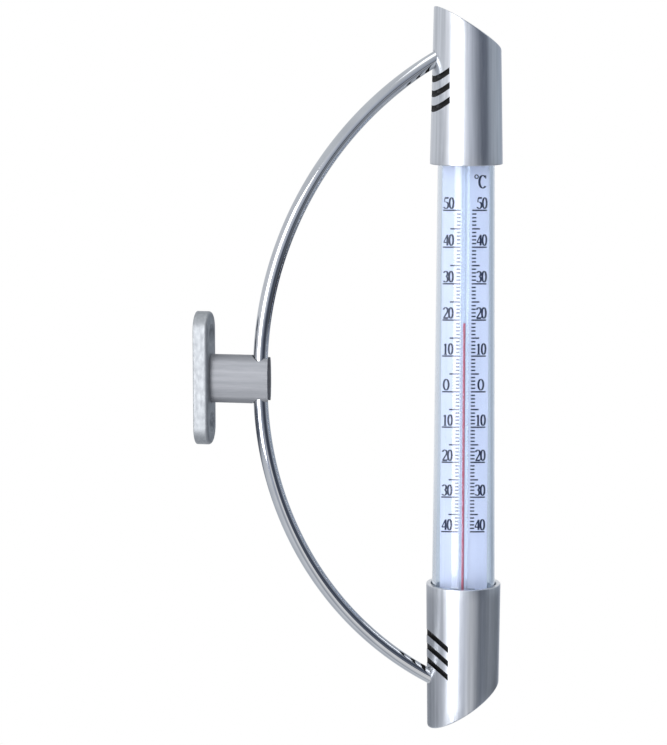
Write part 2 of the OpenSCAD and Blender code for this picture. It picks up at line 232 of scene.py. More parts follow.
def rounded_corners(before, corners, after, cuts, n=6):
    """Each corner is cut back by its own length towards the points before and after it, and
    bridged by a parabola; the bridges follow one another in one run of points."""
    ways = (before - corners, after - corners)
    back, on = (way / np.linalg.norm(way, axis=1, keepdims=True) for way in ways)
    cuts = np.asarray(cuts, float)[:, None]
    bridges = rounded(corners + back * cuts, corners, corners + on * cuts, n)
    return bridges.swapaxes(0, 1).reshape(-1, 2)


def finish_piece(obj, body, slot, *nodes):
    """Gives a piece its body and hides the solids that it stands for; its slot is not used."""
    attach(obj, body)
    if nodes:
        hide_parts(*nodes)


# Materials


def linear(hex_colour):
    """A hex sRGB colour as linear red, green, blue and alpha."""
    values = np.array([int(hex_colour[i : i + 2], 16) for i in (1, 3, 5)]) / 255
    values = np.where(values <= 0.04045, values / 12.92, ((values + 0.055) / 1.055) ** 2.4)
    return (*values.tolist(), 1.0)


def add(tree, kind, settings=None, inputs=None, stops=()):
    """Adds a node, sets its properties, and sets or links its inputs: a socket as a value means a
    link. Stops are a colour ramp's (position, hex colour)."""
    node = tree.nodes.new(kind)
    for key, value in (settings or {}).items():
        setattr(node, key, value)
    for key, value in (inputs or {}).items():
        if isinstance(value, bpy.types.NodeSocket):
            tree.links.new(value, node.inputs[key])
        else:
            node.inputs[key].default_value = value
    if stops:
        elements = node.color_ramp.elements
        while len(elements) < len(stops):
            elements.new(1.0)
        for element, (position, colour) in zip(elements, stops):
            element.position, element.color = position, linear(colour)
    return node


def new_material(name):
    """An empty node material: itself, its tree and its output."""
    material = bpy.data.materials.new(name)
    material.use_nodes = True
    tree = material.node_tree
    tree.nodes.clear()
    return material, tree, tree.nodes.new("ShaderNodeOutputMaterial")


# A pattern is its features' width in millimetres, its stretch along X, Y and Z, and its detail
ROUND = (1, 1, 1)
# The part of a noise's range that holds most of its values: tones and roughness are spread over it
NOISE_LOW, NOISE_HIGH = 0.3, 0.7


def pattern_on(tree, size_mm, stretch, detail):
    """A pattern as noise on Object coordinates: stretch lengthens its features along an axis."""
    place = add(tree, "ShaderNodeTexCoord").outputs["Object"]
    scale = tuple(1 / (size_mm * MM * s) for s in stretch)
    place = add(tree, "ShaderNodeMapping", None, {"Vector": place, "Scale": scale}).outputs[0]
    noise = {"Vector": place, "Scale": 1.0, "Detail": detail}
    return add(tree, "ShaderNodeTexNoise", None, noise).outputs["Fac"]


def worked_surface(tree, polish, roughness, relief=None, depth_mm=0.0, strength=0.5):
    """What a surface's working leaves on it, as shader inputs: a roughness that runs between two
    values with the polish, and a relief depth_mm high, which is the polish's if none is given."""
    value = pattern_on(tree, *polish)
    low, high = roughness
    span = {"From Min": NOISE_LOW, "From Max": NOISE_HIGH, "To Min": low, "To Max": high}
    rough = add(tree, "ShaderNodeMapRange", None, {"Value": value, **span})
    inputs = {"Roughness": rough.outputs["Result"]}
    if depth_mm:
        height = pattern_on(tree, *relief) if relief else value
        stand = {"Height": height, "Distance": depth_mm * MM, "Strength": strength}
        inputs["Normal"] = add(tree, "ShaderNodeBump", None, stand).outputs["Normal"]
    return inputs


METAL = {"Metallic": 1.0}
PLASTIC = {"IOR": 1.5}
ALCOHOL = {"IOR": 1.36}


def opaque(name, stuff, tones, mottle, **work):
    """A metal, plastic, rubber, ink or dyed liquid: its colour runs between two near tones with the
    mottle, and its gloss comes from how its surface is worked."""
    material, tree, out = new_material(name)
    stops = list(zip((NOISE_LOW, NOISE_HIGH), tones))
    value = {"Fac": pattern_on(tree, *mottle)}
    shade = add(tree, "ShaderNodeValToRGB", None, value, stops).outputs["Color"]
    inputs = {"Base Color": shade, **stuff, **worked_surface(tree, **work)}
    shader = add(tree, "ShaderNodeBsdfPrincipled", None, inputs)
    tree.links.new(shader.outputs[0], out.inputs[0])
    return material


def clear(name, colour, ior, roughness, wave_mm):
    """Clear glass or acrylic: full transmission, slightly uneven polish in upright waves, and lamps
    reach through it, tinted by the square root of its colour."""
    material, tree, out = new_material(name)
    wave = (wave_mm, (1, 1, 6), 2.0)
    inputs = {"Base Color": linear(colour), "Transmission Weight": 1.0, "IOR": ior}
    inputs.update(worked_surface(tree, wave, roughness, depth_mm=0.01, strength=0.3))
    shader = add(tree, "ShaderNodeBsdfPrincipled", None, inputs)
    thin = (*(math.sqrt(v) for v in linear(colour)[:3]), 1.0)
    lamp_way = add(tree, "ShaderNodeBsdfTransparent", None, {"Color": thin})
    shadow = add(tree, "ShaderNodeLightPath").outputs["Is Shadow Ray"]
    either = {0: shadow, 1: shader.outputs[0], 2: lamp_way.outputs[0]}
    mix = add(tree, "ShaderNodeMixShader", None, either)
    tree.links.new(mix.outputs[0], out.inputs[0])
    return material


def moulded(name, tones, roughness, grain_mm, depth_mm):
    """Moulded plastic or rubber: a slight mottle, and the fine grain of an eroded mould."""
    mottle, grain = (5.0, ROUND, 2.0), (grain_mm, ROUND, 4.0)
    work = {"polish": grain, "roughness": roughness, "depth_mm": depth_mm}
    return opaque(name, PLASTIC, tones, mottle, **work)


# End caps, aluminium turned and brushed lengthwise: highlights run as soft upright bands
CAP_METAL = opaque(
    "brushed_satin_aluminium",
    METAL,
    tones=("#C4C7CC", "#DEE1E6"),
    mottle=(1.1, (1, 1, 60), 4.0),
    polish=(0.16, (1, 1, 40), 3.0),
    roughness=(0.28, 0.36),
    depth_mm=0.006,
)
# Bow, chromed and polished steel rod: near mirror, with faint polishing lines along it
BOW_CHROME = opaque(
    "chromed_steel_rod",
    METAL,
    tones=("#C6C8CC", "#D0D2D5"),
    mottle=(9.0, ROUND, 2.0),
    polish=(0.5, (1, 1, 12), 3.0),
    roughness=(0.04, 0.09),
    depth_mm=0.01,
    strength=0.3,
)
# Wall plate, die-cast zinc, blasted and satin plated: dull, with a fine granular sparkle and small
# upright patches, which are smoother where they are paler
PLATE_METAL = opaque(
    "satin_cast_zinc",
    METAL,
    tones=("#9FA2A6", "#AEB1B4"),
    mottle=(0.9, (1, 1, 2.5), 4.0),
    polish=(0.9, (1, 1, 2.5), 4.0),
    roughness=(0.6, 0.52),
    relief=(0.35, ROUND, 4.0),
    depth_mm=0.02,
)
# Arm, extruded zinc alloy, matt plated: finer than the plate, with faint draw lines along it
ARM_METAL = opaque(
    "matt_plated_extrusion",
    METAL,
    tones=("#929498", "#9E9FA3"),
    mottle=(1.7, (30, 1, 1), 1.0),
    polish=(0.14, (40, 1, 1), 3.0),
    roughness=(0.6, 0.68),
    depth_mm=0.01,
)
# Small screws and clips, rolled steel, zinc plated: plain grey, unevenly bright
SCREW_STEEL = opaque(
    "zinc_plated_steel",
    METAL,
    tones=("#A9ABAE", "#BFC1C4"),
    mottle=(0.4, ROUND, 3.0),
    polish=(0.4, ROUND, 3.0),
    roughness=(0.25, 0.4),
)
# Inserts, gaskets and plugs: blacks and white as they leave the mould
BLACK_PLASTIC = moulded("black_moulded_nylon", ("#0B0B0D", "#121215"), (0.45, 0.6), 0.4, 0.02)
# Slot faces: painted shade, near-black to stand for the shade deep inside the slots
SLOT_PAINTED_SHADE = moulded("painted_slot_shade", ("#050506", "#0B0B0C"), (0.7, 0.85), 0.4, 0.02)
BLACK_RUBBER = moulded("black_rubber", ("#0C0C0C", "#161616"), (0.65, 0.8), 0.5, 0.03)
WHITE_PLASTIC = moulded("white_moulded_polystyrene", ("#DDE2EA", "#E8ECF2"), (0.35, 0.5), 0.4, 0.01)
# Outer tube, drawn acrylic, and capillary, drawn soda glass: clear, with a faint cold cast
TUBE_CLEAR = clear("clear_acrylic", "#E9F0F8", 1.49, (0.0, 0.03), 9.0)
STEM_GLASS = clear("clear_soda_glass", "#F6F9FB", 1.47, (0.0, 0.02), 6.0)
# Scale strip, opal sheet plastic: cool white, satin, slightly cloudy
STRIP_WHITE = opaque(
    "opal_white_polystyrene",
    PLASTIC,
    tones=("#E5E7F7", "#EBECFC"),
    mottle=(7.0, (1, 1, 3), 2.0),
    polish=(0.3, ROUND, 3.0),
    roughness=(0.42, 0.52),
    depth_mm=0.004,
    strength=0.4,
)
# Print on the strip, screen-printing ink: blue-black, a slightly uneven film
INK = opaque(
    "blue_black_ink",
    PLASTIC,
    tones=("#141A33", "#1F2747"),
    mottle=(0.5, ROUND, 3.0),
    polish=(0.5, ROUND, 3.0),
    roughness=(0.45, 0.6),
)
# Dyed spirit in the bore: raspberry red, slightly uneven
SPIRIT = opaque(
    "dyed_spirit",
    ALCOHOL,
    tones=("#EE6278", "#F47A8C"),
    mottle=(4.0, ROUND, 2.0),
    polish=(4.0, ROUND, 2.0),
    roughness=(0.15, 0.25),
)

for node, material in {
    "wall_plate": PLATE_METAL,
    "clip_arm": ARM_METAL,
    "arm_screw": SCREW_STEEL,
    "upper_insert": BLACK_PLASTIC,
    "lower_insert": BLACK_PLASTIC,
    "upper_bow_screw": SCREW_STEEL,
    "lower_bow_screw": SCREW_STEEL,
    "upper_gasket": BLACK_RUBBER,
    "lower_gasket": BLACK_RUBBER,
    "tube_plug": WHITE_PLASTIC,
    "strip_spacer": WHITE_PLASTIC,
    "stem_clips": SCREW_STEEL,
    "bulb_spirit": SPIRIT,
    "spirit_top": SPIRIT,
}.items():
    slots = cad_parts[node].data.materials
    slots.clear()
    slots.append(material)


# Bow

BOW_RINGS, BOW_SIDES = 150, 48


def bow_path(angles, side=1.0):
    """Points on one bend of the bow's centre line and their directions: an arc of BEND_R that
    leaves the straight middle upwards, or downwards for side -1, and leans to the thermometer."""
    rise = BOW_STRAIGHT / 2 + BEND_R * np.sin(angles)
    points = np.stack([BEND_R * (1 - np.cos(angles)), 0 * angles, side * rise], axis=-1)
    ways = np.stack([np.sin(angles), 0 * angles, side * np.cos(angles)], axis=-1)
    return points, ways


def round_bar(points, ways, radius, n):
    """A round bar: at each point of a path a circle square to its direction there, in a plane that
    holds the Y axis; flat ends close to the path's first and last points."""
    a = np.linspace(0, 2 * np.pi, n, endpoint=False)[:, None]
    across = np.array([0.0, 1.0, 0.0])
    normal = np.cross(ways, across)[:, None]
    rings = points[:, None] + radius * (np.cos(a) * normal + np.sin(a) * across)
    start, end = (np.broadcast_to(point, (1, n, 3)) for point in (points[0], points[-1]))
    return np.concatenate([start, rings, end])


def bow_rod():
    """The whole rod from end to end: the lower bend, the straight middle and the upper bend."""
    angles = np.linspace(0, END_ANGLE, BOW_RINGS)
    up, up_ways = bow_path(angles)
    down, down_ways = bow_path(angles[::-1], -1.0)
    points, ways = np.concatenate([down, up]), np.concatenate([-down_ways, up_ways])
    bar = round_bar(points, ways, BOW_R, BOW_SIDES)
    return Surface().grid(bar, around=True).build("bow_rod", in_bow_frame, BOW_CHROME)


# End caps

CAP_STEPS = 256
CAP_EASE, CAP_LIP = 0.6, 0.35
EASE_ROWS, WALL_ROWS, BORE_ROWS = 7, 12, 10
FACE_SHARES, FLOOR_SHARES = (0.0, 0.3, 0.6, 0.85), (0.7, 0.35, 0.0)
SLAB_HALF_W, SLAB_REACH = 15.0, 9.0
HOLE_LEAD = math.radians(8)
HOLE_FIT = 0.1
HOLE_RINGS, HOLE_SIDES = 24, 64


def cap_grid(rim_z, rim_r, tip_r, rim_bore, tip_bore):
    """An end cap's whole skin: for each direction round the axis, a profile that leaves the middle
    of the oblique end, turns down the outer wall, rounds the rim, and climbs the bore to the middle
    of the oblique floor."""
    a = np.linspace(0, 2 * np.pi, CAP_STEPS, endpoint=False)
    c, s = np.cos(a), np.sin(a)
    slope = math.tan(CAP_SLOPE)

    def wall_r(z, r0, r1):
        """A wall's radius at a height: it runs evenly from r0 at the rim to r1 at the tip."""
        return r0 + (r1 - r0) * (z - rim_z) / (TIP_Z - rim_z)

    def cut_z(r0, r1, drop):
        """Where that wall meets the oblique plane, which lies a drop below the tip's."""
        grow = (r1 - r0) / (TIP_Z - rim_z)
        base = r0 - grow * rim_z
        return (TIP_Z - drop - (base * c + tip_r) * slope) / (1 + grow * c * slope)

    def ring(r, z):
        """Points at a radius and a height, or a row of them for each row of heights."""
        return np.stack([r * c, r * s, z + 0 * a], axis=-1)

    def on_plane(share, r, drop):
        """Points of the oblique plane at a share of the radius."""
        x = share * r * c
        return np.stack([x, share * r * s, TIP_Z - drop - (x + tip_r) * slope], axis=-1)

    def rows(shares):
        return np.array(shares)[:, None]

    edge_z = cut_z(rim_r, tip_r, 0.0)
    edge_r = wall_r(edge_z, rim_r, tip_r)
    eased_z = edge_z - CAP_EASE
    lip_z = rim_z + CAP_LIP
    floor_drop = TIP_WALL / math.cos(CAP_SLOPE)
    floor_z = cut_z(rim_bore, tip_bore, floor_drop)
    floor_r = wall_r(floor_z, rim_bore, tip_bore)
    down = rows(np.linspace(0, 1, WALL_ROWS)[1:-1])
    outer_z = eased_z * (1 - down) + lip_z * down
    up = rows(np.linspace(0, 1, BORE_ROWS)[1:])
    inner_z = lip_z * (1 - up) + floor_z * up
    face = on_plane(rows(FACE_SHARES), edge_r, 0.0)
    ease = rounded(
        on_plane((edge_r - CAP_EASE) / edge_r, edge_r, 0.0),
        ring(edge_r, edge_z),
        ring(wall_r(eased_z, rim_r, tip_r), eased_z),
        EASE_ROWS,
    )
    outer = ring(wall_r(outer_z, rim_r, tip_r), outer_z)
    lip_out = rounded(
        ring(wall_r(lip_z, rim_r, tip_r), lip_z), ring(rim_r, rim_z), ring(rim_r - CAP_LIP, rim_z)
    )
    lip_in = rounded(
        ring(rim_bore + CAP_LIP, rim_z),
        ring(rim_bore, rim_z),
        ring(wall_r(lip_z, rim_bore, tip_bore), lip_z),
    )
    inner = ring(wall_r(inner_z, rim_bore, tip_bore), inner_z)
    floor_face = on_plane(rows(FLOOR_SHARES), floor_r, floor_drop)
    return np.concatenate([face, ease, outer, lip_out, lip_in, inner, floor_face])


def slab(z):
    """A slanting slab, as the two rings of a bar, that cuts one slot: its lower and upper faces lie
    half a slot's width either side of a plane that slopes with x, and its inner end is upright and
    turned by SLOT_TURN."""
    c, s = math.cos(SLOT_TURN), math.sin(SLOT_TURN)
    y = SLAB_HALF_W * np.array([-1.0, 1.0, 1.0, -1.0])
    half = SLOT_W / 2 / math.cos(SLOT_SLOPE) * np.array([-1.0, -1.0, 1.0, 1.0])
    inner = -(SLOT_STOP + y * s) / c
    x = np.stack([inner - SLAB_REACH, inner])
    z = z + (x + SLOT_STOP) * math.tan(SLOT_SLOPE) + half
    return np.stack([x, np.broadcast_to(y, x.shape), z], axis=-1)


def closed_box(surface, rings):
    """Adds a bar through two or more rings of four corners, with its ends closed."""
    surface.grid(rings, around=True)
    for end in (rings[0], rings[-1]):
        surface.grid(np.stack([end[:2], end[[3, 2]]]))


def cut(obj, cutter):
    """Takes the cutter's shape out of a piece, exactly, and removes the cutter."""
    modifier = obj.modifiers.new("cut", "BOOLEAN")
    modifier.operation, modifier.solver, modifier.object = "DIFFERENCE", "EXACT", cutter
    bpy.context.view_layer.update()
    evaluated = obj.evaluated_get(bpy.context.evaluated_depsgraph_get())
    result = bpy.data.meshes.new_from_object(evaluated)
    obj.modifiers.clear()
    old, obj.data = obj.data, result
    bpy.data.meshes.remove(old)
    bpy.data.objects.remove(cutter)
    result.shade_smooth()
    result.set_sharp_from_angle(angle=SHARP_ANGLE)


def end_cap(name, side, rim_z, rim_r, tip_r, slot_drop):
    """An end cap with its slots and the bow's hole cut; the slots' faces are near-black as painted
    shade, for the shade deep in the slots. Side -1 gives the lower cap, worked out as an upper one
    and mirrored below the middle."""
    way_up = np.array([1.0, 1.0, side])

    def place(points):
        return in_tube_frame(points * way_up)

    skin = cap_grid(rim_z, rim_r, tip_r, rim_r - CAP_WALL, tip_r - TIP_WALL)
    obj = Surface().grid(skin, around=True).build(name, place, CAP_METAL)
    slots = Surface()
    for k in range(SLOT_COUNT):
        closed_box(slots, slab(TIP_Z - slot_drop - k * SLOT_PITCH))
    obj.data.materials.append(SLOT_PAINTED_SHADE)
    cutter = slots.build("slot_cutter", place, CAP_METAL)
    cutter.data.materials.append(SLOT_PAINTED_SHADE)
    # Every face of the cutter takes the painted shade, so the slots' walls come out near-black as
    # shade
    black = np.ones(len(cutter.data.polygons), np.int32)
    cutter.data.polygons.foreach_set("material_index", black)
    cut(obj, cutter)
    points, ways = bow_path(np.linspace(ENTRY_ANGLE - HOLE_LEAD, END_ANGLE, HOLE_RINGS))
    hole = Surface().grid(round_bar(points, ways, BOW_R + HOLE_FIT, HOLE_SIDES), around=True)
    cut(obj, hole.build("bow_hole_cutter", lambda points: in_bow_frame(points * way_up)))
    return obj


upper_end_cap = end_cap(
    "upper_end_cap", 1.0, UPPER_RIM_Z, UPPER_RIM_R, UPPER_TIP_R, UPPER_SLOT_DROP
)
finish_piece(upper_end_cap, "bow_frame", "caps", "upper_cap")
lower_end_cap = end_cap(
    "lower_end_cap", -1.0, LOWER_RIM_Z, LOWER_RIM_R, LOWER_TIP_R, LOWER_SLOT_DROP
)
finish_piece(lower_end_cap, "bow_frame", "caps", "lower_cap")
finish_piece(bow_rod(), "bow_frame", "bow", "bow")


# Clear tube

TUBE_SIDES = 192


def tube_r(z):
    """The tube's outer radius at a height: it narrows evenly upwards."""
    share = (TUBE_TOP_Z - z) / (TUBE_TOP_Z - TUBE_LOW_Z)
    return TUBE_TOP_R + (TUBE_LOW_R - TUBE_TOP_R) * share


def clear_tube():
    """The tube's skin as one profile turned about its axis: from the recess in its closed top, down
    the outer wall, round the open lower end and up the bore to the ceiling, with eased corners."""
    ceiling = TUBE_TOP_Z - TUBE_END_T
    first, last = np.array([[0.0, TUBE_TOP_Z - RECESS_L]]), np.array([[0.0, ceiling]])
    corners = np.array(
        [
            (RECESS_R, TUBE_TOP_Z - RECESS_L),
            (RECESS_R, TUBE_TOP_Z),
            (TUBE_TOP_R, TUBE_TOP_Z),
            (TUBE_LOW_R, TUBE_LOW_Z),
            (TUBE_LOW_R - TUBE_WALL, TUBE_LOW_Z),
            (tube_r(ceiling) - TUBE_WALL, ceiling),
        ]
    )
    cuts = (0.2, 0.2, 0.6, 0.2, 0.2, 0.8)
    before, after = np.concatenate([first, corners[:-1]]), np.concatenate([corners[1:], last])
    profile = np.concatenate([first, rounded_corners(before, corners, after, cuts), last])
    skin = lathe(profile, TUBE_SIDES)
    return Surface().grid(skin, around=True).build("clear_tube", in_scale_frame, TUBE_CLEAR)


finish_piece(clear_tube(), "scale_tube", "clear_tube", "outer_tube")


# Scale strip and its print

STRIP_EASE = 0.15
INK_FRONT = -STRIP_T / 2 - 0.03
INK_BACK = -STRIP_T / 2 + 0.01


def scale_strip():
    """The strip: a bar with slightly eased long edges, its section a rounded rectangle carried from
    end to end, and both ends closed to their middles."""
    x, y = STRIP_W / 2, STRIP_T / 2
    corners = np.array([(x, -y), (x, y), (-x, y), (-x, -y)])
    before, after = np.roll(corners, 1, axis=0), np.roll(corners, -1, axis=0)
    section = rounded_corners(before, corners, after, (STRIP_EASE,) * 4, 4)
    middle = np.zeros_like(section)
    low, top = STRIP_LOW_Z, STRIP_TOP_Z
    rings = ((middle, low), (section, low), (section, top), (middle, top))
    skin = np.stack([np.column_stack([ring, np.full(len(ring), z)]) for ring, z in rings])
    return Surface().grid(skin, around=True).build("scale_strip", in_scale_frame, STRIP_WHITE)


finish_piece(scale_strip(), "scale_tube", "scale", "scale_plate")


def ink_bar(surface, left, right):
    """A raised line of ink between two edges, each a run of (x, z): a closed bar that stands on the
    strip's face."""
    left, right = np.asarray(left, float), np.asarray(right, float)

    def edge(points, y):
        return np.stack([points[:, 0], np.full(len(points), y), points[:, 1]], axis=-1)

    runs = ((left, INK_FRONT), (right, INK_FRONT), (right, INK_BACK), (left, INK_BACK))
    closed_box(surface, np.stack([edge(points, y) for points, y in runs], axis=1))


def pen_stroke(surface, path, thick, thin, origin, height):
    """A stroke of an oval pen: the edges lie off the path by the support point of an ellipse that
    is thick across and thin upwards, so upright strokes come out heavy and level ones fine."""
    way = np.gradient(path, axis=0)
    way /= np.linalg.norm(way, axis=1)[:, None]
    normal = np.stack([-way[:, 1], way[:, 0]], axis=-1)
    a, b = thick / 2, thin / 2
    off = np.stack([a * a * normal[:, 0], b * b * normal[:, 1]], axis=-1)
    off /= np.sqrt((a * normal[:, 0]) ** 2 + (b * normal[:, 1]) ** 2)[:, None]
    ink_bar(surface, origin + (path + off) * height, origin + (path - off) * height)


def arc(cx, cy, rx, ry, start, end, n=20):
    """Points on an oval, from one angle to another in degrees."""
    t = np.radians(np.linspace(start, end, n))
    return np.stack([cx + rx * np.cos(t), cy + ry * np.sin(t)], axis=-1)


def line(start, end):
    """Four points along a straight run, so that a stroke keeps its ends square."""
    start, end = np.array(start, float), np.array(end, float)
    return start + (end - start) * np.linspace(0, 1, 4)[:, None]


THICK, THIN = 0.17, 0.065


def glyph(surface, sign, x, z, width, height):
    """One sign of a narrow face with heavy uprights, fine level strokes and small feet. Its strokes
    are laid out on a field one high; width is the field's width, and w half of that."""
    w = width / 2

    def pen(path, thick=THICK, thin=THIN):
        pen_stroke(surface, path, thick, thin, np.array([x, z]), height)

    if sign == "0":
        pen(arc(w, 0.5, w - 0.06, 0.48, 0, 360, 41))
    elif sign == "1":
        pen(line((w, 0.02), (w, 0.97)), THICK * 0.95)
        pen(line((w - 0.13, 0.82), (w - 0.01, 0.95)), THIN * 1.6)
        pen(line((w - 0.14, 0.02), (w + 0.14, 0.02)))
    elif sign == "2":
        pen(arc(w - 0.01, 0.72, w - 0.05, 0.26, 165, -35))
        pen(line((width - 0.1, 0.58), (0.05, 0.05)), THICK * 0.8)
        pen(line((0.03, 0.045), (width - 0.03, 0.045)), THICK, THIN * 2.4)
        pen(line((width - 0.03, 0.04), (width - 0.005, 0.2)), THIN)
    elif sign == "3":
        pen(arc(w - 0.02, 0.75, w - 0.07, 0.23, 160, -80))
        pen(arc(w - 0.03, 0.27, w - 0.045, 0.25, 88, -150, 24))
    elif sign == "4":
        pen(line((width - 0.13, 0.02), (width - 0.13, 0.96)))
        pen(line((width - 0.14, 0.96), (0.02, 0.3)), THIN * 1.6)
        pen(line((0.0, 0.29), (width, 0.29)), THICK, THIN * 1.8)
    elif sign == "5":
        pen(line((0.09, 0.95), (width - 0.04, 0.95)), THICK, THIN * 2.4)
        pen(line((0.1, 0.95), (0.06, 0.58)), THIN * 1.4)
        pen(arc(w - 0.04, 0.31, w - 0.03, 0.29, 110, -150, 26))
    elif sign == "C":
        pen(arc(w + 0.02, 0.5, w - 0.05, 0.48, 42, 318, 36), THICK * 1.05)
        pen(line((width - 0.07, 0.98), (width - 0.07, 0.74)), THIN * 1.3)
    elif sign == "ring":
        pen(arc(w, 0.5, w - 0.12, 0.42, 0, 360, 33), 0.27, 0.22)


# Figures: their height, their widths as shares of it in a pair and alone, the step from one to the
# next, their lift above the mark, and for each ladder where a pair starts and a lone figure's shift
DIGIT_H = 3.9
PAIR_W, SINGLE_W = 0.46, 0.56
DIGIT_STEP = 1.72
DIGIT_LIFT = 0.5
FIGURES = ((-7.55, 0.1), (3.75, 0.65))
# Marks: their thickness, the inner end of each ladder, and the outer ends by kind
TICK_T = 0.5
LEFT_IN, RIGHT_IN = -1.75, 2.1
TICKS = {1: (-3.1, 3.55), 5: (-5.3, 4.8), 10: (-7.75, 7.15)}


def degree_marks():
    """Two ladders of marks, one for each degree, longer at each fifth and longest at each tenth."""
    surface = Surface()
    for t in range(COLDEST, HOTTEST + 1):
        kind = 10 if t % 10 == 0 else 5 if t % 5 == 0 else 1
        low, high = degree_z(t) - TICK_T / 2, degree_z(t) + TICK_T / 2
        outer_left, outer_right = TICKS[kind]
        for x0, x1 in ((outer_left, LEFT_IN), (RIGHT_IN, outer_right)):
            ink_bar(surface, [(x0, low), (x1, low)], [(x0, high), (x1, high)])
    return surface.build("degree_marks", in_scale_frame, INK)


def numerals():
    """The tens, in figures, on both ladders: each figure stands just above its mark."""
    surface = Surface()
    for t in range(COLDEST, HOTTEST + 1, 10):
        z = degree_z(t) + DIGIT_LIFT
        for x, single_in in FIGURES:
            if t == 0:
                glyph(surface, "0", x + single_in, z, SINGLE_W, DIGIT_H)
                continue
            for k, sign in enumerate(str(abs(t))):
                glyph(surface, sign, x + k * DIGIT_STEP, z, PAIR_W, DIGIT_H)
    return surface.build("numerals", in_scale_frame, INK)


def unit_sign():
    """The sign for degrees Celsius at the head of the right ladder."""
    surface = Surface()
    glyph(surface, "ring", x=2.75, z=66.5, width=1.0, height=1.5)
    glyph(surface, "C", x=4.15, z=63.3, width=0.62, height=4.5)
    return surface.build("unit_sign", in_scale_frame, INK)


for piece in (degree_marks(), numerals(), unit_sign()):
    finish_piece(piece, "scale_tube", "scale")


# Capillary and spirit

STEM_SIDES, THREAD_SIDES = 64, 24
BALL_ROWS, HEAD_ROWS, THREAD_ROWS = 24, 10, 60


def capillary():
    """Glass rod with a bulb below and a round head, and inside it the bulb's hollow and the bore.
    Each is a profile turned about the axis: up a ball until it is as wide as the rod, then a
    straight run and over the round head. Both skins end up facing away from the axis."""

    def skin(ball, rod):
        a = np.linspace(-np.pi / 2, np.pi / 2 - math.asin(rod / ball), BALL_ROWS)
        low = np.column_stack([ball * np.cos(a), BULB_Z + ball * np.sin(a)])
        b = np.linspace(0, np.pi / 2, HEAD_ROWS)
        head = np.column_stack([rod * np.cos(b), STEM_TOP_Z - STEM_R + rod * np.sin(b)])
        low[0, 0] = head[-1, 0] = 0.0
        return lathe(np.concatenate([low, head]), STEM_SIDES)

    glass = Surface().grid(skin(BULB_R, STEM_R), around=True)
    glass.grid(skin(BULB_R - BULB_WALL, BORE_R)[::-1], around=True)
    return glass.build("capillary", on_stem, STEM_GLASS)


finish_piece(capillary(), "scale_tube", "capillary", "stem")


def spirit_thread():
    """The thread from the bulb's neck to just under its moving top: a round bar with many rings."""
    z = np.linspace(BULB_TOP_Z, THREAD_TOP_Z, THREAD_ROWS)
    wall = np.column_stack([np.full(THREAD_ROWS, THREAD_R), z])
    profile = np.concatenate([[(0.0, z[0])], wall, [(0.0, z[-1])]])
    skin = lathe(profile, THREAD_SIDES)
    return Surface().grid(skin, around=True).build("spirit_thread", on_stem, SPIRIT)


# Points on the capillary's axis, 1 mm above the thread's lower end and 0.5 mm below its upper
# # end
BLEND_FOOT, BLEND_HEAD = 1.0, 0.5

thread = spirit_thread()
foot = on_stem(np.array([0.0, 0.0, BULB_TOP_Z + BLEND_FOOT])) * MM
head = on_stem(np.array([0.0, 0.0, THREAD_TOP_Z - BLEND_HEAD])) * MM
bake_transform(thread)
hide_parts("spirit_column")


# Floor, in millimetres, but its fade in metres from the middle

FLOOR_Z = -420.0
FLOOR_REACH, FLOOR_LINES = 6000.0, 25
FLOOR_GLOW = 0.5
FADE_FROM, FADE_TO = 0.55, 1.1


def floor():
    """A plain pale floor: one flat sheet well below the thermometer that fades to white far out."""
    side = np.linspace(-FLOOR_REACH, FLOOR_REACH, FLOOR_LINES)
    x, y = np.meshgrid(side, side, indexing="ij")
    grid = np.stack([x, y, np.full_like(x, FLOOR_Z)], axis=-1)
    white = linear("#FFFFFF")
    material, tree, out = new_material("pale_floor")
    lit = add(tree, "ShaderNodeBsdfDiffuse", None, {"Color": linear("#F2F3F4")})
    glow = add(tree, "ShaderNodeEmission", None, {"Color": white, "Strength": FLOOR_GLOW})
    near = add(tree, "ShaderNodeAddShader", None, {0: lit.outputs[0], 1: glow.outputs[0]})
    far = add(tree, "ShaderNodeEmission", None, {"Color": white, "Strength": 1.0})
    place = add(tree, "ShaderNodeTexCoord").outputs["Object"]
    reach = add(tree, "ShaderNodeVectorMath", {"operation": "LENGTH"}, {0: place}).outputs["Value"]
    fade = add(
        tree,
        "ShaderNodeMapRange",
        {"interpolation_type": "SMOOTHSTEP"},
        {"Value": reach, "From Min": FADE_FROM, "From Max": FADE_TO},
    ).outputs["Result"]
    sheet = {0: fade, 1: near.outputs[0], 2: far.outputs[0]}
    seen = add(tree, "ShaderNodeMixShader", None, sheet)
    camera = add(tree, "ShaderNodeLightPath").outputs["Is Camera Ray"]
    either = {0: camera, 1: lit.outputs[0], 2: seen.outputs[0]}
    mix = add(tree, "ShaderNodeMixShader", None, either)
    tree.links.new(mix.outputs[0], out.inputs[0])
    obj = Surface().grid(grid).build("floor", lambda points: points, material)
    obj.visible_glossy = obj.visible_transmission = False


floor()


# Lamps

CENTRE = Vector(in_tube_frame(np.zeros(3)) * MM)


def direction(azimuth, elevation):
    """The unit vector to a place round the thermometer: azimuth 0 is -Y and 90 degrees is +X."""
    a, e = math.radians(azimuth), math.radians(elevation)
    return Vector((math.sin(a) * math.cos(e), -math.cos(a) * math.cos(e), math.sin(e)))


def soft_lamp(name, azimuth, elevation, distance, width, height, watts, raised=0.0):
    """A flat soft lamp, in metres, that faces back along its direction from the thermometer."""
    back = direction(azimuth, elevation)
    light = bpy.data.lights.new(name, "AREA")
    light.shape, light.size, light.size_y, light.energy = "RECTANGLE", width, height, watts
    lamp = bpy.data.objects.new(name, light)
    lamp.location = CENTRE + back * distance + Vector((0, 0, raised))
    lamp.rotation_mode = "QUATERNION"
    lamp.rotation_quaternion = (-back).to_track_quat("-Z", "Y")
    lamp.visible_camera = False
    bpy.context.scene.collection.objects.link(lamp)


